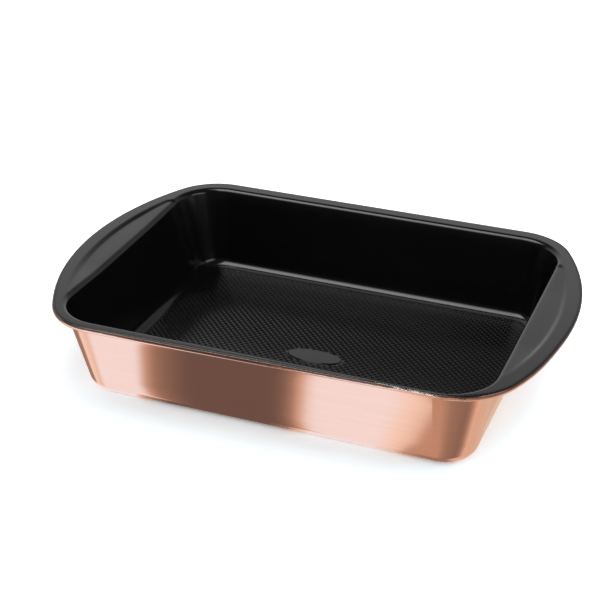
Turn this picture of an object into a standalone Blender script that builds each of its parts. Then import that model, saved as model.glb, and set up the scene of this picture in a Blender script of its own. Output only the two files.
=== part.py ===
"""Deep rectangular roasting pan with two wing handles, pressed from one steel sheet.

The pan is three nested shells. The steel sheet is the pressing itself, with its rim
rolled into an open bead. The dark lining covers the inside and the top of the rim.
The metallic coat covers the outside, the underside of the rim and the bead.

All three follow one section. It runs from the floor up the wall and over the rim, and
it is lofted between two unlike outlines: the opening, a rectangle with round corners,
and the bead, whose ends bulge out into the wings.

Metres, +Z up. The origin lies under the middle of the pan, on the surface it stands on.
+X points to the right wing and -Y to the front.
"""

import math

import bmesh
import bpy
from mathutils import Vector

# Opening, between the bends of the rim.
OPENING_LENGTH = 0.353
OPENING_WIDTH = 0.272
OPENING_CORNER = 0.041

# Rim: how far it stands out from the opening on the long sides and at the wings' tips.
OVERALL_HEIGHT = 0.071
RIM_WIDTH = 0.0070
WING_REACH = 0.0320
OUTER_CORNER = 0.0500

# Wall section, on the face of the lining.
DRAFT = math.radians(11.25)
RIM_BEND = 0.0045
FLOOR_FILLET = 0.0068

# Sheet and coats.
SHEET = 0.0008
LINING = 0.00025
COAT = 0.00025
GAP = 0.0003

# Rolled bead.
CURL_RADIUS = 0.0010
CURL_SWEEP = math.radians(270)
LINING_ENDS_AT = math.radians(62)
COAT_FILLET = 0.0005

# Sunk grip panel of each wing: a D whose arc leaves a band inside the wing's edge.
PANEL_BAND = 0.014
PANEL_TIP = 0.0012
PANEL_CORNER = 0.006
PANEL_DEPTH = 0.0016
PANEL_SLOPE = 0.0030

# Raised oval pad in the floor, bare on top.
PAD_LENGTH = 0.047
PAD_WIDTH = 0.023
PAD_RISE = 0.0008
PAD_SLOPE = 0.0016
PAD_SETBACK = -0.010

# Facets.
CORNER_STEPS = 7
SIDE_STEPS = 14
ARC_STEPS = 3
CURL_STEPS = 7
PAD_STEPS = 12

# Depth of each shell's middle below the face of the lining.
LINING_DEPTH = LINING / 2
SHEET_DEPTH = LINING + GAP + SHEET / 2
COAT_DEPTH = LINING + GAP + SHEET + GAP + COAT / 2
STACK = COAT_DEPTH + COAT / 2

# The outer edge over all.
HALF_LENGTH = OPENING_LENGTH / 2 + WING_REACH
HALF_WIDTH = OPENING_WIDTH / 2 + RIM_WIDTH

# Centre of the opening's corner.
INNER_X = OPENING_LENGTH / 2 - OPENING_CORNER
INNER_Y = OPENING_WIDTH / 2 - OPENING_CORNER

# The bead's outside is a round bar around the centre of the curl.
BEAD_RADIUS = CURL_RADIUS + SHEET_DEPTH
BEAD_HALF_WIDTH = HALF_WIDTH - BEAD_RADIUS
BEAD_HALF_LENGTH = HALF_LENGTH - BEAD_RADIUS
BEAD_HEIGHT = OVERALL_HEIGHT - BEAD_RADIUS
# The flat of the rim ends this far inside the middle of the bead.
BEAD_MARGIN = 1.4 * BEAD_RADIUS

# The bead's outline: a straight, a corner beside the opening's corner, and the wing's arc,
# which touches both corners and reaches out to the wing's tip.
BEAD_CORNER = OUTER_CORNER - BEAD_RADIUS
CORNER_X = INNER_X
CORNER_Y = BEAD_HALF_WIDTH - BEAD_CORNER
BULGE = BEAD_HALF_LENGTH - BEAD_CORNER
WING_CENTRE = Vector(((CORNER_X ** 2 + CORNER_Y ** 2 - BULGE ** 2) / (2 * (CORNER_X - BULGE)), 0.0))
BEAD_WING = BEAD_HALF_LENGTH - WING_CENTRE.x
TANGENT_ANGLE = math.atan2(CORNER_Y, CORNER_X - WING_CENTRE.x)

# The panel's arc, from its tip beside one corner of the opening to its tip beside the other.
PANEL_REACH = INNER_Y
PANEL_SAGITTA = WING_REACH - PANEL_BAND - PANEL_TIP
PANEL_RADIUS = (PANEL_SAGITTA ** 2 + PANEL_REACH ** 2) / (2 * PANEL_SAGITTA)
PANEL_CENTRE = Vector((HALF_LENGTH - PANEL_BAND - PANEL_RADIUS, 0.0))

# Slanted part of the wall, and how far the floor lies inside the opening.
ROUND_SUM = RIM_BEND + FLOOR_FILLET
WALL_RISE = OVERALL_HEIGHT - STACK - ROUND_SUM * (1 - math.sin(DRAFT))
FLOOR_INSET = ROUND_SUM * math.cos(DRAFT) + WALL_RISE * math.tan(DRAFT)


def clear_scene():
    for item in list(bpy.data.objects):
        bpy.data.objects.remove(item, do_unlink=True)


def finish(name, colour, roughness, metallic):
    """Plain material of one sub-part."""
    material = bpy.data.materials.new(name)
    material.use_nodes = True
    shader = material.node_tree.nodes["Principled BSDF"]
    shader.inputs["Base Color"].default_value = (*colour, 1.0)
    shader.inputs["Roughness"].default_value = roughness
    shader.inputs["Metallic"].default_value = metallic
    return material


def opening_stations():
    """Points and outward normals of the opening's right half, from front to back."""
    half_length = OPENING_LENGTH / 2
    half_width = OPENING_WIDTH / 2
    stations = [(Vector((0.0, -half_width)), Vector((0.0, -1.0)))]
    for step in range(CORNER_STEPS + 1):
        angle = math.pi / 2 * (step / CORNER_STEPS - 1)
        normal = Vector((math.cos(angle), math.sin(angle)))
        stations.append((Vector((INNER_X, -INNER_Y)) + OPENING_CORNER * normal, normal))
    for step in range(1, SIDE_STEPS):
        # The stations crowd towards the ends, where the panel's tips are.
        y = INNER_Y * math.sin(math.pi * (step / SIDE_STEPS - 0.5))
        stations.append((Vector((half_length, y)), Vector((1.0, 0.0))))
    for step in range(CORNER_STEPS + 1):
        angle = math.pi / 2 * step / CORNER_STEPS
        normal = Vector((math.cos(angle), math.sin(angle)))
        stations.append((Vector((INNER_X, INNER_Y)) + OPENING_CORNER * normal, normal))
    stations.append((Vector((0.0, half_width)), Vector((0.0, 1.0))))
    return stations


def meet_circle(point, direction, centre, radius):
    """Far point where a ray from inside a circle meets it."""
    offset = point - centre
    along = offset.dot(direction)
    return point + direction * (math.sqrt(along * along - offset.dot(offset) + radius * radius) - along)


def bead_point(point, normal):
    """Centre of the bead straight out from a point of the opening, and the outline's normal."""
    side = math.copysign(1.0, point.y)
    if normal.y * side > 0:
        hit = point + normal * (BEAD_HALF_WIDTH - abs(point.y)) / abs(normal.y)
        if hit.x <= CORNER_X:
            return hit, Vector((0.0, side))
    hit = meet_circle(point, normal, WING_CENTRE, BEAD_WING)
    if abs(math.atan2(hit.y, hit.x - WING_CENTRE.x)) < TANGENT_ANGLE:
        return hit, (hit - WING_CENTRE).normalized()
    centre = Vector((CORNER_X, side * CORNER_Y))
    hit = meet_circle(point, normal, centre, BEAD_CORNER)
    return hit, (hit - centre).normalized()


def clamp(value, low, high):
    return min(max(value, low), high)


def panel_share(point):
    """1 on the sunk panel of the wing, 0 on the rim round it, and a ramp between them."""
    to_arc = PANEL_RADIUS - (point - PANEL_CENTRE).length
    to_tip = PANEL_REACH - abs(point.y)
    # The two edges meet in a round corner.
    if to_arc < PANEL_CORNER and to_tip < PANEL_CORNER:
        inside = PANEL_CORNER - math.hypot(PANEL_CORNER - to_arc, PANEL_CORNER - to_tip)
    else:
        inside = min(to_arc, to_tip)
    return clamp(inside / PANEL_SLOPE + 0.5, 0.0, 1.0)


def ramp_rows(point, normal, flat):
    """Distances out from the opening of the two edges of the ramp round the panel."""
    if abs(point.y) > PANEL_REACH:
        return [flat * 0.3, flat * 0.7]
    edge = meet_circle(point, normal, PANEL_CENTRE, PANEL_RADIUS)
    middle = (edge - point).length
    half = PANEL_SLOPE / 2 / (edge - PANEL_CENTRE).normalized().dot(normal)
    inner = clamp(middle - half, flat * 0.1, flat * 0.8)
    outer = clamp(middle + half, flat * 0.2, flat)
    return [inner, outer]


def arc(centre, radius, start, end, steps):
    """Points of an arc in the section, its ends included."""
    angles = (start + (end - start) * step / steps for step in range(steps + 1))
    return [(centre[0] + radius * math.cos(a), centre[1] + radius * math.sin(a)) for a in angles]


def wall_section(depth):
    """Floor fillet, wall and rim bend: distance out from the opening, and height."""
    fillet = arc((-FLOOR_INSET, STACK + FLOOR_FILLET), FLOOR_FILLET + depth, -math.pi / 2, -DRAFT, ARC_STEPS)
    bend_centre = (0.0, OVERALL_HEIGHT - RIM_BEND)
    bend = arc(bend_centre, RIM_BEND - depth, math.pi - DRAFT, math.pi / 2, ARC_STEPS)
    return fillet + bend


def lining_bead():
    """The lining runs over the top of the bead and stops there."""
    radius = BEAD_RADIUS - LINING_DEPTH
    stop = LINING_ENDS_AT + GAP / 2 / radius
    return arc((0.0, BEAD_HEIGHT), radius, math.pi / 2, stop, 1)


def sheet_bead():
    """The sheet rolls outwards, down and back under the rim."""
    return arc((0.0, BEAD_HEIGHT), CURL_RADIUS, math.pi / 2, math.pi / 2 - CURL_SWEEP, CURL_STEPS)


def coat_bead():
    """The coat turns down from the underside of the rim and wraps the bead from below."""
    radius = BEAD_RADIUS - LINING_DEPTH
    centre = Vector((0.0, BEAD_HEIGHT))
    fillet_height = OVERALL_HEIGHT - COAT_DEPTH - COAT_FILLET
    reach = math.sqrt((radius + COAT_FILLET) ** 2 - (BEAD_HEIGHT - fillet_height) ** 2)
    fillet_centre = Vector((-reach, fillet_height))
    towards_bead = centre - fillet_centre
    meeting = math.atan2(towards_bead.y, towards_bead.x)
    fillet = arc(fillet_centre, COAT_FILLET, math.pi / 2, meeting, 2)
    # From the inner side, where the fillet touches it, under the bead and up its outside.
    stop = LINING_ENDS_AT - GAP / 2 / radius
    wrap = arc(centre, radius, meeting - math.pi, stop, CURL_STEPS)
    return fillet + wrap[1:]


def section_points(station, depth, bead):
    """One whole section of a shell in space, from the floor to the end on the bead."""
    point, normal = station
    hit, bead_normal = bead_point(point, normal)
    sink = panel_share(point) * PANEL_DEPTH
    wall = wall_section(depth)
    points = []
    for index, (out, height) in enumerate(wall):
        # Where the panel is sunk, the bend slides down along the wall.
        drop = sink if index > ARC_STEPS else 0.0
        place = point + normal * (out - drop * math.tan(DRAFT))
        points.append((place.x, place.y, height - drop))
    for out in ramp_rows(point, normal, (hit - point).length - BEAD_MARGIN):
        place = point + normal * out
        points.append((place.x, place.y, OVERALL_HEIGHT - depth - panel_share(place) * PANEL_DEPTH))
    for out, height in bead:
        place = hit + bead_normal * out
        points.append((place.x, place.y, height))
    return points


def pad_loop(length, width):
    """Right half of the pad's oval, from front to back."""
    angles = (math.pi * (step / PAD_STEPS - 0.5) for step in range(PAD_STEPS + 1))
    return [(length / 2 * math.cos(a), PAD_SETBACK + width / 2 * math.sin(a)) for a in angles]


def shell_surface(name, depth, bead):
    """Right half of a shell's middle surface, open at the plane X = 0."""
    mesh = bpy.data.meshes.new(name)
    build = bmesh.new()
    sections = []
    for station in opening_stations():
        sections.append([build.verts.new(co) for co in section_points(station, depth, bead)])
    for near, far in zip(sections, sections[1:]):
        for row in range(len(near) - 1):
            build.faces.new((near[row], near[row + 1], far[row + 1], far[row]))

    floor = STACK - depth
    foot = [build.verts.new((x, y, floor)) for x, y in pad_loop(PAD_LENGTH, PAD_WIDTH)]
    crown = [
        build.verts.new((x, y, floor + PAD_RISE))
        for x, y in pad_loop(PAD_LENGTH - 2 * PAD_SLOPE, PAD_WIDTH - 2 * PAD_SLOPE)
    ]
    build.faces.new([section[0] for section in sections] + foot[::-1])
    for row in range(PAD_STEPS):
        build.faces.new((foot[row], foot[row + 1], crown[row + 1], crown[row]))
    build.faces.new(crown)

    # Points on the plane of symmetry lie on it exactly.
    for vert in build.verts:
        if abs(vert.co.x) < 1e-6:
            vert.co.x = 0.0
    build.to_mesh(mesh)
    build.free()
    return mesh


def add_shell(collection, name, depth, thickness, bead, material):
    """A whole shell: the half surface, mirrored and thickened."""
    mesh = shell_surface(name, depth, bead)
    shell = bpy.data.objects.new(name, mesh)
    collection.objects.link(shell)
    mesh.materials.append(material)
    mirror = shell.modifiers.new("both halves", "MIRROR")
    mirror.use_axis = (True, False, False)
    mirror.merge_threshold = 0.00005
    solid = shell.modifiers.new("thickness", "SOLIDIFY")
    solid.thickness = thickness
    solid.offset = 0.0
    solid.use_even_offset = True
    solid.use_quality_normals = True
    mesh.shade_smooth()
    mesh.set_sharp_from_angle(angle=math.radians(40))
    return shell


def build_pan():
    pan = bpy.data.collections.new("roasting_pan")
    bpy.context.scene.collection.children.link(pan)
    steel = finish("cold rolled steel", (0.42, 0.42, 0.43), 0.35, 1.0)
    charcoal = finish("charcoal non-stick lining", (0.012, 0.012, 0.013), 0.35, 0.0)
    copper = finish("copper tone outer coat", (0.80, 0.42, 0.30), 0.30, 1.0)
    add_shell(pan, "steel_body", SHEET_DEPTH, SHEET, sheet_bead(), steel)
    add_shell(pan, "nonstick_lining", LINING_DEPTH, LINING, lining_bead(), charcoal)
    add_shell(pan, "copper_outer_coat", COAT_DEPTH, COAT, coat_bead(), copper)


clear_scene()
build_pan()
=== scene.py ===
"""Looks of a deep roasting pan: charcoal non-stick lining, steel sheet and copper-tone coat.

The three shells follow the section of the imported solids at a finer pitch. They also have what such
a pan shows and the solids leave out: the diamond grid pressed into the floor, a rolled rim that was
trimmed off the middle of the pressing, with its front edge askew and its corners unlike, and a left
end that leans in more than the right one.
"""

import math

import bmesh
import bpy
from mathutils import Matrix, Vector


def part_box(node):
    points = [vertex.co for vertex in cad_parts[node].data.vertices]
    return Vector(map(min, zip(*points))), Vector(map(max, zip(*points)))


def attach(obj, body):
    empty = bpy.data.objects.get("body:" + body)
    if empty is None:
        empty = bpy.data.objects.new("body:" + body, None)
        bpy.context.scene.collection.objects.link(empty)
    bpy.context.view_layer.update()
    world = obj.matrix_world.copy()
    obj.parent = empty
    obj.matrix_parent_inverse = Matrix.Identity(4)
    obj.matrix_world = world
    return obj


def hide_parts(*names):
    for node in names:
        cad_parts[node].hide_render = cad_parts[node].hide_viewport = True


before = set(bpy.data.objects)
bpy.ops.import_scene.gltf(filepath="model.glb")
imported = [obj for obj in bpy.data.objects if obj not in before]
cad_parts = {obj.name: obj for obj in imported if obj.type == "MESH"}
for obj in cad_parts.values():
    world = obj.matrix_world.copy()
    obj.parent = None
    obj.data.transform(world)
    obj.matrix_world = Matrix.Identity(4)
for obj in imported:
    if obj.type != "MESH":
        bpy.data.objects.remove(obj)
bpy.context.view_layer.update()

# Overall sizes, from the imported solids.
HALF_LENGTH, HALF_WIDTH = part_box("copper_outer_coat")[1][:2]
OVERALL_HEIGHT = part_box("nonstick_lining")[1][2]

# Opening between the bends of the rim, and the section of the wall on the face of the lining.
OPENING_LENGTH = 0.353
OPENING_WIDTH = 0.272
OPENING_CORNER = 0.041
DRAFT = math.radians(11.25)
RIM_BEND = 0.0045
FLOOR_FILLET = 0.0080
# The left end of the body leans in by this much more at the floor.
LEFT_INSET = 0.0048

# Sheet and coats, with the gaps that the solids have, and how deep the middle of each lies.
SHEET = 0.0008
LINING = 0.00025
COAT = 0.00025
GAP = 0.0003
LINING_DEPTH = LINING / 2
SHEET_DEPTH = LINING + GAP + SHEET / 2
COAT_DEPTH = LINING + GAP + SHEET + GAP + COAT / 2
STACK = COAT_DEPTH + COAT / 2

# Outline of the rolled rim: its shift off the middle, the slant of its front edge, its corners.
RIM_SHIFT = Vector((-0.0004, 0.0036))
FRONT_SKEW = math.tan(math.radians(1.45))
FRONT_LEFT_CORNER = 0.0485
FRONT_RIGHT_CORNER = 0.0550
BACK_CORNER = 0.0490
# The right wing grows fuller by this much, from one place in front of the middle to another.
WING_FULLNESS = 0.0030
FULLNESS_START = 0.03
FULLNESS_LENGTH = 0.07

# Roll of the sheet, and how many times deeper than a circle the lower half of the bead is.
CURL_RADIUS = 0.0010
CURL_SWEEP = math.radians(270)
BEAD_STRETCH = 1.7
# Turn of the outer coat from the rim down to the bead. A rim narrower than so many bead radii has
# no room for it: there the coat leaves the rim at this share of its width in from the bead, and
# comes to the bead at this distance out from the opening.
COAT_FILLET = 0.0005
NARROW_RIM = 1.5
NARROW_TURN = 0.3
NARROW_COAT_START = -0.0008

# Line on the bead where the lining meets the outer coat: its angle is lower along the sides than at
# the corners, and changes from one distance from a corner over a length. A gap is left between them.
LINE_ON_SIDES = math.radians(28)
LINE_AT_CORNERS = math.radians(50)
LINE_CHANGE_START = 0.02
LINE_CHANGE_LENGTH = 0.10
COAT_GAP = 0.00015

# Sunk grip panel of each wing.
PANEL_BAND = 0.014
PANEL_TIP = 0.0012
PANEL_CORNER = 0.006
PANEL_DEPTH = 0.0016
PANEL_SLOPE = 0.0050
# Steepness of its slope at the tips, against the slope along its arc.
TIP_STEEPNESS = 0.8
# How much of its depth is left at the front and back tips, and over what length it is lost.
FRONT_TIP = 0.10
BACK_TIP = 0.50
PANEL_FADE = 0.055

# Rows across the flat of the rim, as shares of its width: how much of the rim is flat at least,
# where the panel's slope begins and ends, and the limits within which the panel moves them.
LEAST_FLAT = 0.6
SLOPE_START = 0.3
SLOPE_END = 0.7
START_LIMITS = (0.1, 0.8)
END_LIMITS = (0.2, 1.0)
# A section that crosses the slope at a slant has a wider one, down to this cosine of the slant.
LEAST_CROSSING = 0.4

# Raised oval pad in the floor.
PAD_LENGTH = 0.047
PAD_WIDTH = 0.020
PAD_RISE = 0.0008
PAD_SETBACK = -0.0094
# Rings up its steep edge and onto its flat top: how much narrower than the foot, and how high.
PAD_RINGS = ((0.0, 0.0), (0.0014, PAD_RISE), (0.0030, PAD_RISE))

# Diamond grid pressed into the floor, and the flat strips left at the floor's edge and the pad.
GRID_PITCH = 0.0040
GRID_RISE = 0.00030
GRID_MARGIN = 0.0006
PAD_MARGIN = 0.0006
# A cell cut down to less than this share of a diamond stays flat.
SLIVER_SHARE = 0.12

# Derived places: centres of the opening's corners, bead, arc of the panel and edge of the floor.
INNER_X = OPENING_LENGTH / 2 - OPENING_CORNER
INNER_Y = OPENING_WIDTH / 2 - OPENING_CORNER
BEAD_RADIUS = CURL_RADIUS + SHEET_DEPTH
BEAD_HEIGHT = OVERALL_HEIGHT - BEAD_RADIUS
BEAD_MARGIN = 1.4 * BEAD_RADIUS
BEAD_HALF_WIDTH = HALF_WIDTH - BEAD_RADIUS
BEAD_HALF_LENGTH = HALF_LENGTH - BEAD_RADIUS
PANEL_REACH = INNER_Y
PANEL_SAGITTA = HALF_LENGTH - OPENING_LENGTH / 2 - PANEL_BAND - PANEL_TIP
PANEL_RADIUS = (PANEL_SAGITTA ** 2 + PANEL_REACH ** 2) / (2 * PANEL_SAGITTA)
PANEL_CENTRE = Vector((HALF_LENGTH - PANEL_BAND - PANEL_RADIUS, 0.0))
ROUND_SUM = RIM_BEND + FLOOR_FILLET
WALL_RISE = OVERALL_HEIGHT - STACK - ROUND_SUM * (1 - math.sin(DRAFT))
FLOOR_INSET = ROUND_SUM * math.cos(DRAFT) + WALL_RISE * math.tan(DRAFT)
LEAN_RISE = OVERALL_HEIGHT - RIM_BEND - STACK

# Pitch of the meshes.
CORNER_STEPS = 24
WING_STEPS = 84
LONG_STEPS = 36
FILLET_STEPS = 10
WALL_STEPS = 6
BEND_STEPS = 8
FLAT_STEPS = 4
RAMP_STEPS = 10
BEAD_STEPS = 20
TURN_STEPS = 3
PAD_STEPS = 64

# Edges sharper than this aren't smoothed over. Points nearer than this are one point, and the floor
# takes in what lies this close to its edge.
SHARP_ANGLE = math.radians(40)
TOUCH = 1e-6
FLOOR_TOUCH = 1e-5

# Camera: its bearing from the pan, height angle, roll and place, and its lens, worked out from the
# focal length and the picture's width in pixels.
CAMERA_BEARING = math.radians(20.908)
CAMERA_ELEVATION = math.radians(28.509)
CAMERA_ROLL = math.radians(0.283)
CAMERA_PLACE = Vector((0.3673, -0.9865, 0.6146))
FOCAL_PIXELS = 1468.6
PICTURE_PIXELS = 616
SENSOR = 36.0
LENS = FOCAL_PIXELS / PICTURE_PIXELS * SENSOR


def clamp(value, low, high):
    return min(max(value, low), high)


def smooth(value):
    """Soft step from 0 to 1."""
    value = clamp(value, 0.0, 1.0)
    return value * value * (3 - 2 * value)


def ramp(value, start, length):
    """Soft step that begins at a start and is done after a length."""
    return smooth((value - start) / length)


def blend(first, second, share):
    return first + (second - first) * share


def arc(centre, radius, start, end, steps):
    """Points of an arc in the section, its ends included."""
    x, y = centre
    angles = (blend(start, end, step / steps) for step in range(steps + 1))
    return [Vector((x + radius * math.cos(a), y + radius * math.sin(a))) for a in angles]


def opening_stations():
    """Points and outward normals round the opening, anticlockwise from the front right corner."""
    arcs = []
    for quarter, (right, back) in enumerate(((1, -1), (1, 1), (-1, 1), (-1, -1))):
        centre = Vector((INNER_X * right, INNER_Y * back))
        normals = []
        for step in range(CORNER_STEPS + 1):
            angle = math.pi / 2 * (quarter - 1 + step / CORNER_STEPS)
            normals.append(Vector((math.cos(angle), math.sin(angle))))
        arcs.append([(centre + OPENING_CORNER * normal, normal) for normal in normals])
    stations = []
    for quarter, corner in enumerate(arcs):
        stations += corner
        start, normal = corner[-1]
        end = arcs[(quarter + 1) % 4][0][0]
        steps = LONG_STEPS if quarter % 2 else WING_STEPS
        for step in range(1, steps):
            # The stations crowd towards the ends, where the panel's tips are.
            share = (1 - math.cos(math.pi * step / steps)) / 2
            stations.append((start.lerp(end, share), normal))
    return stations


def meet_circle(point, direction, centre, radius):
    """Far point where a ray from inside a circle meets it."""
    offset = point - centre
    along = offset.dot(direction)
    half_chord = math.sqrt(along * along - offset.dot(offset) + radius * radius)
    return point + direction * (half_chord - along)


def bead_in_quadrant(point, normal, corner):
    """Centre of the bead straight out from a point, and its outward direction, in one quadrant."""
    if normal.y > 0:
        hit = point + normal * (BEAD_HALF_WIDTH - point.y) / normal.y
        if hit.x <= INNER_X:
            return hit, Vector((0.0, 1.0))
    # The corner's arc runs on into the wider arc of the wing, whose centre is on the long axis.
    radius = corner - BEAD_RADIUS
    centre = Vector((INNER_X, BEAD_HALF_WIDTH - radius))
    bulge = BEAD_HALF_LENGTH - radius
    wing = Vector(((centre.length_squared - bulge ** 2) / (2 * (centre.x - bulge)), 0.0))
    hit = meet_circle(point, normal, wing, BEAD_HALF_LENGTH - wing.x)
    if abs(math.atan2(hit.y, hit.x - wing.x)) < math.atan2(centre.y, centre.x - wing.x):
        return hit, (hit - wing).normalized()
    hit = meet_circle(point, normal, centre, radius)
    return hit, (hit - centre).normalized()


def bead_point(point, normal):
    """The same in any quadrant, with the rim shifted and its front edge askew."""
    skew = FRONT_SKEW * clamp(point.x, -INNER_X, INNER_X) * (1 - point.y / HALF_WIDTH) / 2
    fuller = 0.0
    if point.x > 0:
        fuller = WING_FULLNESS * ramp(-point.y, FULLNESS_START, FULLNESS_LENGTH)
    offset = RIM_SHIFT + Vector((fuller, skew))
    place = point - offset
    side = Matrix.Diagonal((math.copysign(1.0, place.x), math.copysign(1.0, place.y)))
    front = FRONT_RIGHT_CORNER if place.x > 0 else FRONT_LEFT_CORNER
    corner = BACK_CORNER if place.y > 0 else front
    hit, outward = bead_in_quadrant(side @ place, side @ normal, corner)
    return side @ hit + offset, side @ outward


def panel_frame(point):
    """A point of either wing as seen from the panel of the right wing."""
    return Vector(((point.x - RIM_SHIFT.x) * math.copysign(1.0, point.x), point.y))


def panel_share(point):
    """1 on the sunk panel of a wing, 0 on the rim round it, and a soft slope between them."""
    place = panel_frame(point)
    to_arc = PANEL_RADIUS - (place - PANEL_CENTRE).length
    to_tip = (PANEL_REACH - abs(place.y)) * TIP_STEEPNESS
    # The two edges meet in a round corner.
    if to_arc < PANEL_CORNER and to_tip < PANEL_CORNER:
        inside = PANEL_CORNER - math.hypot(PANEL_CORNER - to_arc, PANEL_CORNER - to_tip)
    else:
        inside = min(to_arc, to_tip)
    # It gets shallower towards the tips.
    tip = BACK_TIP if place.y > 0 else FRONT_TIP
    depth = blend(tip, 1.0, smooth((PANEL_REACH - abs(place.y)) / PANEL_FADE))
    return smooth(inside / PANEL_SLOPE + 0.5) * depth


def rim_rows(point, normal, width):
    """Distances out from the opening of the rows across the flat of the rim."""
    flat = max(width - BEAD_MARGIN, width * LEAST_FLAT)
    # On the wings the rows follow the slope of the panel.
    side = Vector((abs(normal.x), normal.y))
    edge = meet_circle(panel_frame(point), side, PANEL_CENTRE, PANEL_RADIUS)
    middle = (edge - panel_frame(point)).length
    crossing = (edge - PANEL_CENTRE).normalized().dot(side)
    half = PANEL_SLOPE / 2 / max(crossing, LEAST_CROSSING)
    share = smooth(1 - (abs(point.y) - PANEL_REACH) / PANEL_CORNER)
    start, end = (
        blend(flat * plain, clamp(moved, flat * low, flat * high), share)
        for plain, moved, (low, high) in (
            (SLOPE_START, middle - half, START_LIMITS),
            (SLOPE_END, middle + half, END_LIMITS),
        )
    )
    edges = [0.0, start, end, flat]
    rows = []
    for near, far, steps in zip(edges, edges[1:], (FLAT_STEPS, RAMP_STEPS, FLAT_STEPS)):
        rows += [blend(near, far, (step + 1) / steps) for step in range(steps)]
    return rows


def wall_section(depth):
    """Floor fillet, wall and rim bend: distance out from the opening, and height."""
    fillet_centre = (-FLOOR_INSET, STACK + FLOOR_FILLET)
    bend_centre = (0.0, OVERALL_HEIGHT - RIM_BEND)
    fillet = arc(fillet_centre, FLOOR_FILLET + depth, -math.pi / 2, -DRAFT, FILLET_STEPS)
    bend = arc(bend_centre, RIM_BEND - depth, math.pi - DRAFT, math.pi / 2, BEND_STEPS)
    wall = [fillet[-1].lerp(bend[0], step / WALL_STEPS) for step in range(1, WALL_STEPS)]
    return fillet + wall + bend


def coat_line(point):
    """Angle on the bead at which the lining gives way to the outer coat."""
    along_x = abs(abs(point.x) - OPENING_LENGTH / 2)
    along_y = abs(abs(point.y) - OPENING_WIDTH / 2)
    on_side = ramp(max(along_x, along_y), LINE_CHANGE_START, LINE_CHANGE_LENGTH)
    return blend(LINE_AT_CORNERS, LINE_ON_SIDES, on_side)


def deepened(section):
    """The section of the bead with its lower half stretched downwards."""
    deep = [min(height - BEAD_HEIGHT, 0.0) * (BEAD_STRETCH - 1) for out, height in section]
    return [Vector((out, height + drop)) for (out, height), drop in zip(section, deep)]


def lining_bead(point, width):
    """The lining runs over the top of the bead and stops there."""
    radius = BEAD_RADIUS - LINING_DEPTH
    stop = coat_line(point) + COAT_GAP / 2 / radius
    return arc((0.0, BEAD_HEIGHT), radius, math.pi / 2, stop, BEAD_STEPS // 2)


def sheet_bead(point, width):
    """The sheet rolls outwards, down and back under the rim."""
    end = math.pi / 2 - CURL_SWEEP
    return deepened(arc((0.0, BEAD_HEIGHT), CURL_RADIUS, math.pi / 2, end, BEAD_STEPS))


def coat_bead(point, width):
    """The coat turns down from the underside of the rim and wraps the bead from below."""
    radius = BEAD_RADIUS - LINING_DEPTH
    stop = coat_line(point) - COAT_GAP / 2 / radius
    underside = OVERALL_HEIGHT - COAT_DEPTH
    fillet_height = underside - COAT_FILLET
    reach = math.sqrt((radius + COAT_FILLET) ** 2 - (BEAD_HEIGHT - fillet_height) ** 2)
    meeting = math.atan2(BEAD_HEIGHT - fillet_height, reach)
    if width > NARROW_RIM * BEAD_RADIUS:
        turn = arc((-reach, fillet_height), COAT_FILLET, math.pi / 2, meeting, TURN_STEPS)
        wrap = arc((0.0, BEAD_HEIGHT), radius, meeting - math.pi, stop, BEAD_STEPS)
        return turn + deepened(wrap[1:])
    # Where the rim is narrow, the bead closes against the wall.
    start = -math.acos(clamp((NARROW_COAT_START - width) / radius, -1.0, 1.0))
    wrap = deepened(arc((0.0, BEAD_HEIGHT), radius, start, stop, BEAD_STEPS))
    top = Vector((-NARROW_TURN * width, underside))
    return [top.lerp(wrap[0], step / TURN_STEPS) for step in range(TURN_STEPS)] + wrap


def left_lean(point):
    """How far the foot of the wall is moved in from the left."""
    return Vector((LEFT_INSET * clamp(0.5 - point.x / INNER_X / 2, 0.0, 1.0), 0.0))


def section_points(point, normal, depth, bead):
    """One whole section of a shell in space, from the floor to the end on the bead."""
    hit, outward = bead_point(point, normal)
    width = (hit - point).length
    sink = panel_share(point) * PANEL_DEPTH
    points = []
    for index, (out, height) in enumerate(wall_section(depth)):
        # Where the panel is sunk, the bend slides down along the wall.
        drop = sink * smooth((index - FILLET_STEPS) / WALL_STEPS)
        share = clamp((OVERALL_HEIGHT - RIM_BEND - height) / LEAN_RISE, 0.0, 1.0)
        place = point + left_lean(point) * share + normal * (out - drop * math.tan(DRAFT))
        points.append((*place, height - drop))
    for out in rim_rows(point, normal, width):
        place = point + normal * out
        points.append((*place, OVERALL_HEIGHT - depth - panel_share(place) * PANEL_DEPTH))
    for out, height in bead(point, width):
        points.append((*(hit + outward * out), height))
    return [Vector(place) for place in points]


def oval(length, width, height):
    """Closed loop of points on the pad's outline."""
    angles = (2 * math.pi * step / PAD_STEPS for step in range(PAD_STEPS))
    spots = ((length / 2 * math.cos(a), PAD_SETBACK + width / 2 * math.sin(a)) for a in angles)
    return [Vector((x, y, height)) for x, y in spots]


def onto_floor(x, y, margin):
    """A point past the flat of the floor, less a margin, is moved onto its edge."""
    middle = LEFT_INSET / 2
    core_x = (OPENING_LENGTH - LEFT_INSET) / 2 - OPENING_CORNER
    core = Vector((middle + clamp(x - middle, -core_x, core_x), clamp(y, -INNER_Y, INNER_Y)))
    corner = OPENING_CORNER - FLOOR_INSET - margin
    offset = Vector((x, y)) - core
    if offset.length > corner:
        offset *= corner / offset.length
    return tuple(core + offset)


def on_floor(x, y, margin):
    """Whether a point lies on the flat of the floor, less a margin."""
    return (Vector((x, y)) - Vector(onto_floor(x, y, margin))).length < TOUCH


def past_pad(x, y):
    """1 on the line that the grid keeps round the pad, less inside it."""
    across = x / (PAD_LENGTH / 2 + PAD_MARGIN)
    along = (y - PAD_SETBACK) / (PAD_WIDTH / 2 + PAD_MARGIN)
    return math.hypot(across, along)


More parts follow.
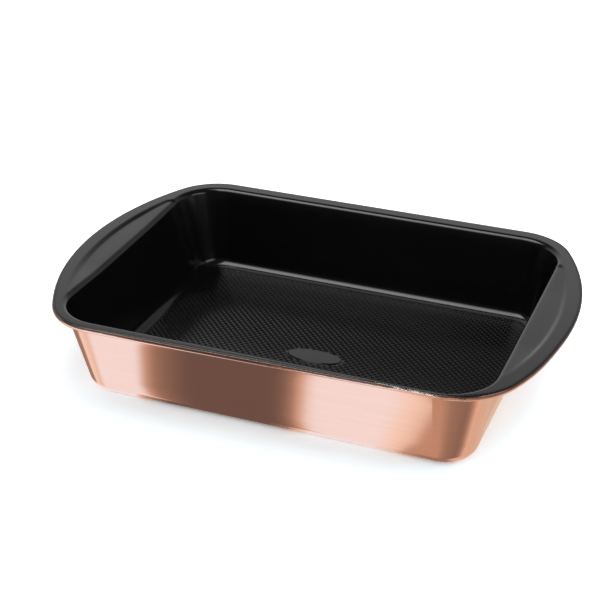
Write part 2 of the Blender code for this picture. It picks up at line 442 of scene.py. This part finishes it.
def off_pad(x, y):
    """A point inside that line is moved out onto it."""
    share = min(past_pad(x, y), 1.0)
    return x / share, PAD_SETBACK + (y - PAD_SETBACK) / share


def cell_share(places):
    """Area of a four-sided cell, as a share of a whole diamond."""
    pairs = zip(places, places[1:] + places[:1])
    return abs(sum(a[0] * b[1] - b[0] * a[1] for a, b in pairs)) / 2 / GRID_PITCH ** 2


def press_grid(build, height):
    """Low diamonds over the floor; returns the edges round them."""
    half_diagonal = GRID_PITCH / math.sqrt(2)
    reach = int(OPENING_LENGTH / GRID_PITCH)
    corners = {}
    for i in range(-reach, reach):
        for j in range(-reach, reach):
            keys = [(i, j), (i + 1, j), (i + 1, j + 1), (i, j + 1)]
            spots = [((a - b) * half_diagonal, (a + b) * half_diagonal) for a, b in keys]
            if all(past_pad(*spot) < 1 or not on_floor(*spot, GRID_MARGIN) for spot in spots):
                continue
            # A cell across the edge of the floor or of the pad is cut down to fit.
            places = [off_pad(*onto_floor(*spot, GRID_MARGIN)) for spot in spots]
            share = cell_share(places)
            if share < SLIVER_SHARE:
                continue
            for key, place in zip(keys, places):
                if key not in corners:
                    corners[key] = build.verts.new((*place, height))
            ring = [corners[key] for key in keys]
            middle = sum((vert.co for vert in ring), Vector()) / 4
            peak = build.verts.new(middle + Vector((0.0, 0.0, GRID_RISE * min(share, 1.0))))
            for first, second in zip(ring, ring[1:] + ring[:1]):
                build.faces.new((first, second, peak))
    return [edge for edge in build.edges if len(edge.link_faces) == 1]


def add_walls(build, stations, sections, trace, hem):
    """Faces from the floor to the end on the bead, with their places on both maps."""
    travelled = 0.0
    for index, near in enumerate(sections):
        after = (index + 1) % len(sections)
        far = sections[after]
        step = (stations[after][0] - stations[index][0]).length
        rises = [(upper.co - lower.co).length for lower, upper in zip(near, near[1:])]
        climbed = 0.0
        for row, rise in enumerate(rises):
            face = build.faces.new((near[row], far[row], far[row + 1], near[row + 1]))
            spots = ((0, 0), (step, 0), (step, rise), (0, rise))
            for corner, (along, up) in zip(face.loops, spots):
                corner[trace].uv = (travelled + along, climbed + up)
                corner[hem].uv = (sum(rises) - climbed - up, 0.0)
            climbed += rise
        travelled += step


def loop_edges(build, ring):
    pairs = zip(ring, ring[1:] + ring[:1])
    return [build.edges.get(pair) or build.edges.new(pair) for pair in pairs]


def add_floor(build, borders, foot, height):
    """The flat of the floor between its edge, the grid and the pad, and the pad itself."""
    rings = []
    for narrower, rise in PAD_RINGS:
        outline = oval(PAD_LENGTH - narrower, PAD_WIDTH - narrower, height + rise)
        rings.append([build.verts.new(place) for place in outline])
    edges = borders + loop_edges(build, foot) + loop_edges(build, rings[0])
    flat = bmesh.ops.triangle_fill(build, use_beauty=True, edges=edges, normal=(0.0, 0.0, 1.0))
    for lower, upper in zip(rings, rings[1:]):
        for here in range(PAD_STEPS):
            after = (here + 1) % PAD_STEPS
            build.faces.new((lower[here], lower[after], upper[after], upper[here]))
    build.faces.new(rings[-1])
    for face in flat["geom"]:
        if isinstance(face, bmesh.types.BMFace) and face.normal.z < 0:
            face.normal_flip()


def map_floor(build, height, trace, hem):
    """Places of the floor and the pad on both maps."""
    top = height + PAD_RISE + TOUCH
    for face in build.faces:
        spots = [vert.co for vert in face.verts]
        if all(z <= top and on_floor(x, y, -FLOOR_TOUCH) for x, y, z in spots):
            for corner in face.loops:
                corner[trace].uv = corner.vert.co.xy
                corner[hem].uv = (OPENING_WIDTH, 0.0)


def shell_mesh(name, depth, bead, grid):
    """Middle surface of one shell, with its floor and its pad.

    The map "trace" runs along and up the sheet, and "hem" gives the distance from the rolled edge.
    """
    build = bmesh.new()
    trace = build.loops.layers.uv.new("trace")
    hem = build.loops.layers.uv.new("hem")
    floor = STACK - depth
    borders = press_grid(build, floor) if grid else []
    facets = len(build.faces)
    stations = opening_stations()
    sections = []
    for point, normal in stations:
        places = section_points(point, normal, depth, bead)
        sections.append([build.verts.new(place) for place in places])
    add_walls(build, stations, sections, trace, hem)
    add_floor(build, borders, [section[0] for section in sections], floor)
    map_floor(build, floor, trace, hem)
    mesh = bpy.data.meshes.new(name)
    build.to_mesh(mesh)
    build.free()
    # All smooth apart from sharp edges, but with flat facets on the grid.
    mesh.shade_smooth()
    mesh.set_sharp_from_angle(angle=SHARP_ANGLE)
    for facet in range(facets):
        mesh.polygons[facet].use_smooth = False
    return mesh


def add_shell(name, depth, thickness, bead, finish, node, grid=False):
    """A whole shell as a piece of its own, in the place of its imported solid."""
    mesh = shell_mesh(name, depth, bead, grid)
    shell = bpy.data.objects.new(name, mesh)
    bpy.context.scene.collection.objects.link(shell)
    mesh.materials.append(finish)
    solid = shell.modifiers.new("thickness", "SOLIDIFY")
    solid.thickness = thickness
    solid.offset = 0.0
    solid.use_quality_normals = True
    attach(shell, "root")
    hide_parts(node)


class Signal:
    """An output of a node that can be used in sums: each operation adds its Math node."""

    def __init__(self, nodes, socket):
        self.nodes = nodes
        self.socket = socket

    def joined(self, operation, first, second):
        return self.nodes.add("ShaderNodeMath", {"operation": operation}, {0: first, 1: second})

    def __add__(self, other):
        return self.joined("ADD", self, other)

    def __sub__(self, other):
        return self.joined("SUBTRACT", self, other)

    def __mul__(self, other):
        return self.joined("MULTIPLY", self, other)

    def larger(self, other):
        return self.joined("MAXIMUM", self, other)

    __radd__ = __add__
    __rmul__ = __mul__


class Nodes:
    """The node tree of a material or of the world, filled by one method."""

    def __init__(self, owner):
        owner.use_nodes = True
        self.tree = owner.node_tree
        self.tree.nodes.clear()

    def add(self, kind, settings=(), sockets=(), output=0):
        """A node with its settings made first, then the values or links of its sockets."""
        node = self.tree.nodes.new(kind)
        for name, value in dict(settings).items():
            if name == "stops":
                self.set_stops(node.color_ramp, value)
            else:
                setattr(node, name, value)
        for name, value in dict(sockets).items():
            if isinstance(value, Signal):
                self.tree.links.new(value.socket, node.inputs[name])
            else:
                node.inputs[name].default_value = value
        return Signal(self, node.outputs[output]) if node.outputs else node

    def set_stops(self, ladder, stops):
        while len(ladder.elements) < len(stops):
            ladder.elements.new(1.0)
        for element, (place, shade) in zip(ladder.elements, stops):
            element.position = place
            element.color = shade


def grey(level):
    return (level, level, level, 1.0)


def mixed(nodes, share, first, second):
    """Colour between two others."""
    return nodes.add("ShaderNodeMix", {"data_type": "RGBA"}, {0: share, 6: first, 7: second}, 2)


def mapped(nodes, value, start, end, low, high, curve="LINEAR"):
    """A value from low to high as another goes from start to end."""
    sockets = {0: value, 1: start, 2: end, 3: low, 4: high}
    return nodes.add("ShaderNodeMapRange", {"interpolation_type": curve}, sockets)


def noise(nodes, place, stretch, detail):
    """Noise at a pitch of its own along each axis."""
    settings = {"operation": "MULTIPLY"}
    stretched = nodes.add("ShaderNodeVectorMath", settings, {0: place, 1: stretch})
    sockets = {"Vector": stretched, "Scale": 1.0, "Detail": detail}
    return nodes.add("ShaderNodeTexNoise", {}, sockets, "Fac")


RELIEF_DEPTH = 0.00002


def relief(nodes, height, strength):
    """Fine relief of a surface."""
    sockets = {"Strength": strength, "Distance": RELIEF_DEPTH, "Height": height}
    return nodes.add("ShaderNodeBump", {}, sockets, "Normal")


def uv_map(nodes, name):
    return nodes.add("ShaderNodeUVMap", {"uv_map": name})


def part_of(nodes, place, axis):
    """One coordinate of a place."""
    return nodes.add("ShaderNodeSeparateXYZ", {}, {0: place}, axis)


def along_object(nodes, axis):
    """One coordinate on the object itself."""
    return part_of(nodes, nodes.add("ShaderNodeTexCoord", output="Object"), axis)


def new_material(name):
    material = bpy.data.materials.new(name)
    return material, Nodes(material)


def show(nodes, shader):
    """The shader becomes the surface of the material."""
    nodes.add("ShaderNodeOutputMaterial", {}, {"Surface": shader})


def emit(nodes, shade, strength=1.0):
    """The material glows."""
    show(nodes, nodes.add("ShaderNodeEmission", {}, {"Color": shade, "Strength": strength}))


CHARCOAL_DARK = (0.0024, 0.0024, 0.0026, 1.0)
CHARCOAL_PALE = (0.0036, 0.0036, 0.0038, 1.0)
CHARCOAL_IOR = 1.38
TOOTH_PITCH = (1400.0, 1400.0, 1400.0)
CLOUD_PITCH = (35.0, 35.0, 35.0)
# The lining is dry up to the first distance from its edge, and no longer dry past the second.
DRY_HEM = (0.0016, 0.0030)

COPPER_DEEP = (0.88, 0.60, 0.49, 1.0)
COPPER_PALE = (0.95, 0.69, 0.59, 1.0)
BRUSH_PITCH = (18.0, 1500.0, 1.0)
DRIFT_PITCH = (6.0, 220.0, 1.0)
WANDER_PITCH = (160.0, 160.0, 1.0)
# Painted shade on the copper of the bead next to the lining's edge, where the copper is also
# rougher: its shade, how far it reaches, how soft its edge is and how far the edge wanders.
EDGE_PAINTED_SHADE = (0.15, 0.095, 0.078, 1.0)
EDGE_SHADE_REACH = 0.0019
EDGE_SHADE_FADE = 0.0006
EDGE_SHADE_WANDER = 0.0008

STEEL_DARK = (0.36, 0.36, 0.37, 1.0)
STEEL_PALE = (0.48, 0.48, 0.49, 1.0)
GRAIN_PITCH = (40.0, 2200.0, 1.0)


def charcoal_lining():
    """Satin non-stick coat: nearly black, with a fine even tooth, and drier over the roll."""
    material, nodes = new_material("charcoal_lining")
    place = nodes.add("ShaderNodeTexCoord", output="Object")
    from_hem = part_of(nodes, uv_map(nodes, "hem"), "X")
    dry = mapped(nodes, from_hem, *DRY_HEM, 1.0, 0.0)
    tooth = noise(nodes, place, TOOTH_PITCH, 2.0)
    cloud = noise(nodes, place, CLOUD_PITCH, 3.0)
    sockets = {
        "Base Color": mixed(nodes, cloud, CHARCOAL_DARK, CHARCOAL_PALE),
        "Roughness": 0.12 + 0.05 * cloud + 0.04 * tooth + 0.25 * dry,
        "IOR": CHARCOAL_IOR,
        "Normal": relief(nodes, tooth, 0.2),
    }
    show(nodes, nodes.add("ShaderNodeBsdfPrincipled", {}, sockets))
    return material


def copper_coat():
    """Glossy copper-tone coat over steel that is brushed along its length, with painted shade along
    the lining's edge on the bead.
    """
    material, nodes = new_material("copper_coat")
    trace = uv_map(nodes, "trace")
    from_hem = part_of(nodes, uv_map(nodes, "hem"), "X")
    brush = noise(nodes, trace, BRUSH_PITCH, 3.0)
    drift = noise(nodes, trace, DRIFT_PITCH, 2.0)
    wander = noise(nodes, trace, WANDER_PITCH, 2.0)
    # Painted shade: the copper is darkened, and made rougher, near the lining's edge on the bead.
    edge = (EDGE_SHADE_REACH, EDGE_SHADE_REACH + EDGE_SHADE_FADE)
    wandering = from_hem + EDGE_SHADE_WANDER * wander
    edge_shaded = mapped(nodes, wandering, *edge, 1.0, 0.0, "SMOOTHSTEP")
    copper = mixed(nodes, 0.5 * brush + 0.5 * drift, COPPER_DEEP, COPPER_PALE)
    sockets = {
        "Base Color": mixed(nodes, edge_shaded, copper, EDGE_PAINTED_SHADE),
        "Metallic": 1.0,
        "Roughness": 0.075 + 0.03 * brush + 0.2 * edge_shaded,
        "Anisotropic": 0.9,
        "Anisotropic Rotation": 0.25,
        "Normal": relief(nodes, brush, 0.12),
    }
    show(nodes, nodes.add("ShaderNodeBsdfPrincipled", {}, sockets))
    return material


def bare_steel():
    """Cold rolled sheet, seen only at the roll of the rim."""
    material, nodes = new_material("bare_steel")
    grain = noise(nodes, uv_map(nodes, "trace"), GRAIN_PITCH, 3.0)
    sockets = {
        "Base Color": mixed(nodes, grain, STEEL_DARK, STEEL_PALE),
        "Metallic": 1.0,
        "Roughness": 0.28 + 0.12 * grain,
    }
    show(nodes, nodes.add("ShaderNodeBsdfPrincipled", {}, sockets))
    return material


def plain_glow(name, shade):
    """Plain material of a studio card."""
    material, nodes = new_material(name)
    emit(nodes, shade)
    return material


def add_stage(name, corners, faces, material):
    """A studio piece."""
    mesh = bpy.data.meshes.new(name)
    mesh.from_pydata(corners, [], faces)
    mesh.materials.append(material)
    piece = bpy.data.objects.new(name, mesh)
    bpy.context.scene.collection.objects.link(piece)
    return piece


def only_in_reflections(piece):
    """Only reflections show the card: it is never seen directly, and lights nothing by itself."""
    piece.visible_camera = False
    piece.visible_diffuse = False
    piece.visible_transmission = False
    piece.visible_volume_scatter = False
    piece.visible_shadow = False


def rectangle(left, right, front, back, height):
    spots = ((left, front), (right, front), (right, back), (left, back))
    return [(x, y, height) for x, y in spots]


def circle(radius, steps, height):
    """Points round a circle, at the height that a function gives for each."""
    angles = (2 * math.pi * step / steps for step in range(steps))
    spots = ((radius * math.cos(a), radius * math.sin(a)) for a in angles)
    return [(x, y, height(x, y)) for x, y in spots]


def band_faces(steps):
    """Faces of a wall between two loops of points."""
    pairs = ((step, (step + 1) % steps) for step in range(steps))
    return [(here, after, steps + after, steps + here) for here, after in pairs]


FLOOR_REACH = 6.0
FLOOR_DROP = 0.0002
FLOOR_GREY = 0.8
# The floor as the camera sees it: cooler at the right, where the copper throws a warm glow on it.
FLOOR_SEEN = (1.28, 1.44, 1.51, 1.0)
FLOOR_AT_RIGHT = (1.42, 1.82, 2.02, 1.0)
FLOOR_TURNS_COOL = (0.10, 0.20)
FLOOR_GLOW = 0.08


def studio_floor():
    """Plain pale floor. The camera sees it a little overexposed, with the pan's shadow."""
    material, nodes = new_material("studio_floor")
    seen = nodes.add("ShaderNodeLightPath", output="Is Camera Ray")
    at_right = mapped(nodes, along_object(nodes, "X"), *FLOOR_TURNS_COOL, 0.0, 1.0)
    shown = mixed(nodes, at_right, FLOOR_SEEN, FLOOR_AT_RIGHT)
    shade = mixed(nodes, seen, grey(FLOOR_GREY), shown)
    glow = mixed(nodes, seen, grey(0.0), grey(FLOOR_GLOW))
    paint = nodes.add("ShaderNodeBsdfDiffuse", {}, {"Color": shade})
    glowing = nodes.add("ShaderNodeEmission", {}, {"Color": glow})
    show(nodes, nodes.add("ShaderNodeAddShader", {}, {0: paint, 1: glowing}))
    corners = rectangle(-FLOOR_REACH, FLOOR_REACH, -FLOOR_REACH, FLOOR_REACH, -FLOOR_DROP)
    floor = add_stage("studio_floor", corners, [(0, 1, 2, 3)], material)
    floor.visible_glossy = False


# Grey upper part of the studio. It begins at the floor in front, and behind the pan above the white
# sweep, where it is lighter and darkens upwards.
STUDIO_RADIUS = 3.0
STUDIO_HEIGHT = 5.2
STUDIO_STEPS = 96
STUDIO_GREY = 0.12
SWEEP_GREY = 0.55
SWEEP_HEIGHT = 2.1
SWEEP_FADE = 3.2
SWEEP_BACK = 1.5
# Where the edge of the sweep rises towards the back and where it drops towards the right, as a
# start and a length in studio radii, and how much of its height is lost at the right.
SWEEP_RISES = (-0.35, 0.40)
SWEEP_DROPS = (0.02, 0.25)
SWEEP_LOSS = 0.85


def sweep_edge(x, y):
    """Height of the edge of the sweep round the studio."""
    behind = ramp(y / STUDIO_RADIUS, *SWEEP_RISES)
    at_right = ramp(x / STUDIO_RADIUS, *SWEEP_DROPS)
    return SWEEP_HEIGHT * behind * (1 - SWEEP_LOSS * at_right)


def dark_studio():
    material, nodes = new_material("dark_studio")
    low = mapped(nodes, along_object(nodes, "Z"), SWEEP_HEIGHT, SWEEP_FADE, 1.0, 0.0)
    far = mapped(nodes, along_object(nodes, "Y"), 0.0, SWEEP_BACK, 0.0, 1.0)
    emit(nodes, grey(1.0), STUDIO_GREY + (SWEEP_GREY - STUDIO_GREY) * (low * far))
    lower = circle(STUDIO_RADIUS, STUDIO_STEPS, sweep_edge)
    upper = circle(STUDIO_RADIUS, STUDIO_STEPS, lambda x, y: STUDIO_HEIGHT)
    faces = band_faces(STUDIO_STEPS) + [tuple(range(STUDIO_STEPS, 2 * STUDIO_STEPS))]
    only_in_reflections(add_stage("dark_studio", lower + upper, faces, material))


# Face of the softbox above and in front of the pan, which fades towards the front.
SOFTBOX_LEFT = -0.95
SOFTBOX_RIGHT = -0.04
SOFTBOX_FRONT = -1.35
SOFTBOX_FADE = -0.35
SOFTBOX_BACK = 0.12
SOFTBOX_HEIGHT = 1.25
SOFTBOX_GLOW = 7.8
SOFTBOX_FRONT_SHARE = 0.05


def softbox_face():
    material, nodes = new_material("softbox_face")
    fade = (SOFTBOX_FRONT, SOFTBOX_FADE, SOFTBOX_FRONT_SHARE, 1.0)
    share = mapped(nodes, along_object(nodes, "Y"), *fade, "SMOOTHSTEP")
    emit(nodes, grey(1.0), SOFTBOX_GLOW * share)
    sides = (SOFTBOX_LEFT, SOFTBOX_RIGHT, SOFTBOX_FRONT, SOFTBOX_BACK)
    corners = rectangle(*sides, SOFTBOX_HEIGHT)
    only_in_reflections(add_stage("softbox_face", corners, [(0, 1, 2, 3)], material))


# Upright light at the right of the pan.
SIDE_LIGHT_PLACE = 1.3
SIDE_LIGHT_FRONT = -1.10
SIDE_LIGHT_BACK = 0.05
SIDE_LIGHT_LOW = 0.30
SIDE_LIGHT_HIGH = 0.95
SIDE_LIGHT_GLOW = 3.2


def side_light():
    low = [(SIDE_LIGHT_PLACE, y, SIDE_LIGHT_LOW) for y in (SIDE_LIGHT_FRONT, SIDE_LIGHT_BACK)]
    high = [(SIDE_LIGHT_PLACE, y, SIDE_LIGHT_HIGH) for y in (SIDE_LIGHT_BACK, SIDE_LIGHT_FRONT)]
    material = plain_glow("side_light", grey(SIDE_LIGHT_GLOW))
    only_in_reflections(add_stage("side_light", low + high, [(0, 1, 2, 3)], material))


# Cards round the pan, below the level of the floor, which draw the upright bands on its outer
# walls: their shades, and their bearings from the pan in degrees.
BRIGHT = (1.00, 1.03, 1.12, 1.0)
CREAM = (1.02, 0.88, 0.80, 1.0)
TAN = (0.91, 0.73, 0.63, 1.0)
AMBER = (0.84, 0.58, 0.455, 1.0)
PEACH = (0.76, 0.56, 0.445, 1.0)
SIENNA = (0.68, 0.43, 0.315, 1.0)
RUST = (0.57, 0.365, 0.27, 1.0)
BROWN = (0.37, 0.24, 0.18, 1.0)
DUSK = (0.27, 0.182, 0.145, 1.0)
UMBER = (0.165, 0.114, 0.100, 1.0)
WALL_BANDS = (
    (-180.0, BROWN), (-172.0, BROWN), (-166.0, CREAM), (-151.0, TAN), (-142.0, BRIGHT),
    (-130.7, BRIGHT), (-130.0, AMBER), (-129.2, RUST), (-128.0, BROWN), (-126.4, DUSK),
    (-122.8, UMBER), (-108.6, UMBER), (-106.0, DUSK), (-104.6, RUST), (-103.7, AMBER),
    (-102.2, BRIGHT), (-88.0, BRIGHT), (-84.6, CREAM), (-81.8, TAN), (-80.2, RUST),
    (-67.0, RUST), (-52.0, BROWN), (-32.0, DUSK), (-25.0, BROWN), (-13.5, AMBER),
    (-4.0, PEACH), (46.0, PEACH), (56.0, SIENNA), (90.0, SIENNA), (106.0, BRIGHT),
    (142.0, BRIGHT), (156.0, BROWN),
)
BANDS_RADIUS = 0.36
BANDS_TOP = -0.01
BANDS_FOOT = -3.5
BANDS_STEPS = 120
# The bands lean by so many degrees for each metre down: less at the left of the pan than at the
# right, with a change between two bearings. At this height they stand at their own bearings.
BANDS_LEAN = (30.0, 60.0)
LEAN_CHANGES = (-104.0, -90.0)
BANDS_MIDDLE = -0.25


def wall_bands():
    material, nodes = new_material("wall_bands")
    place = nodes.add("ShaderNodeTexCoord", output="Object")
    turn = nodes.add("ShaderNodeTexGradient", {"gradient_type": "RADIAL"}, {"Vector": place}, "Fac")
    changes = [bearing / 360 + 0.5 for bearing in LEAN_CHANGES]
    lean = mapped(nodes, turn, *changes, *(degrees / 360 for degrees in BANDS_LEAN))
    leaning = turn - (part_of(nodes, place, "Z") - BANDS_MIDDLE) * lean
    stops = [(bearing / 360 + 0.5, shade) for bearing, shade in WALL_BANDS]
    emit(nodes, nodes.add("ShaderNodeValToRGB", {"stops": stops}, {0: leaning}))
    lower = circle(BANDS_RADIUS, BANDS_STEPS, lambda x, y: BANDS_FOOT)
    upper = circle(BANDS_RADIUS, BANDS_STEPS, lambda x, y: BANDS_TOP)
    only_in_reflections(add_stage("wall_bands", lower + upper, band_faces(BANDS_STEPS), material))


# Low cards under the edge of the pan: a dark one, a painted shadow that the foot of the pan reflects
# in place of the shadow on the floor at its edge, and one that carries the bands on round the
# bottom, with its shades at places along the pan. They lie between lines at these distances out
# from the edge of the pan's floor.
FOOT_BANDS = (
    (-0.160, CREAM), (-0.135, BRIGHT), (-0.110, BRIGHT), (-0.106, AMBER), (-0.101, RUST),
    (-0.094, BROWN), (-0.080, UMBER), (0.002, UMBER), (0.018, BROWN), (0.026, AMBER),
    (0.036, BRIGHT), (0.085, BRIGHT), (0.103, TAN), (0.112, RUST), (0.126, BROWN),
    (0.145, BROWN), (0.151, AMBER), (0.170, PEACH),
)
FOOT_LINES = (-0.004, 0.0030, 0.0120)
FOOT_DROP = 0.0004
FOOT_SHADE = 0.05


def foot_bands():
    stations = opening_stations()
    steps = len(stations)
    corners = []
    for line in FOOT_LINES:
        for point, normal in stations:
            place = point + left_lean(point) + normal * (line - FLOOR_INSET)
            corners.append((*place, -FOOT_DROP))
    material, nodes = new_material("foot_bands")
    stops = [(0.5 + spot / OPENING_LENGTH, shade) for spot, shade in FOOT_BANDS]
    share = 0.5 + along_object(nodes, "X") * (1 / OPENING_LENGTH)
    emit(nodes, nodes.add("ShaderNodeValToRGB", {"stops": stops}, {0: share}))
    inner = band_faces(steps)
    outer = [tuple(corner + steps for corner in face) for face in inner]
    # The dark card is painted shadow: the floor's shadow at the pan's foot, as the fillet reflects
    # it.
    dark = plain_glow("foot_shade", grey(FOOT_SHADE))
    only_in_reflections(add_stage("foot_shade", corners, inner, dark))
    only_in_reflections(add_stage("foot_bands", corners, outer, material))


FILL_LEVEL = 0.85
LAMP_LEVEL = 1.0
LAMP_SIZE = 1.2
LAMP_PLACE = (0.08, 0.28, 1.25)


def studio_world():
    """White where it is seen or reflected, and a soft fill light otherwise."""
    world = bpy.data.worlds.new("studio")
    bpy.context.scene.world = world
    nodes = Nodes(world)
    seen = nodes.add("ShaderNodeLightPath", output="Is Camera Ray")
    glossy = nodes.add("ShaderNodeLightPath", output="Is Glossy Ray")
    through = nodes.add("ShaderNodeLightPath", output="Is Transmission Ray")
    level = FILL_LEVEL + (1 - FILL_LEVEL) * seen.larger(glossy).larger(through)
    shader = nodes.add("ShaderNodeBackground", {}, {"Color": grey(1.0), "Strength": level})
    nodes.add("ShaderNodeOutputWorld", {}, {"Surface": shader})


def softbox_lamp():
    """Lamp above the pan. Cards stand for the lights in reflections, so it stays out of them."""
    light = bpy.data.lights.new("softbox", "AREA")
    light.size = LAMP_SIZE
    light.energy = LAMP_LEVEL * math.pi * LAMP_SIZE ** 2
    lamp = bpy.data.objects.new("softbox", light)
    lamp.location = LAMP_PLACE
    lamp.visible_glossy = False
    bpy.context.scene.collection.objects.link(lamp)


def photo_camera():
    data = bpy.data.cameras.new("camera")
    data.sensor_fit = "HORIZONTAL"
    data.sensor_width = SENSOR
    data.lens = LENS
    camera = bpy.data.objects.new("camera", data)
    bearing = Matrix.Rotation(CAMERA_BEARING, 4, "Z")
    tilt = Matrix.Rotation(math.pi / 2 - CAMERA_ELEVATION, 4, "X")
    roll = Matrix.Rotation(CAMERA_ROLL, 4, "Z")
    camera.matrix_world = Matrix.Translation(CAMERA_PLACE) @ bearing @ tilt @ roll
    bpy.context.scene.collection.objects.link(camera)
    bpy.context.scene.camera = camera


def build_scene():
    add_shell(
        "charcoal_lining", LINING_DEPTH, LINING, lining_bead, charcoal_lining(),
        "nonstick_lining", grid=True,
    )
    add_shell(
        "steel_sheet", SHEET_DEPTH, SHEET, sheet_bead, bare_steel(),
        "steel_body",
    )
    add_shell(
        "copper_coat", COAT_DEPTH, COAT, coat_bead, copper_coat(),
        "copper_outer_coat",
    )
    studio_floor()
    dark_studio()
    softbox_face()
    side_light()
    wall_bands()
    foot_bands()
    studio_world()
    softbox_lamp()
    photo_camera()
    bpy.context.scene.view_settings.view_transform = "Standard"


build_scene()
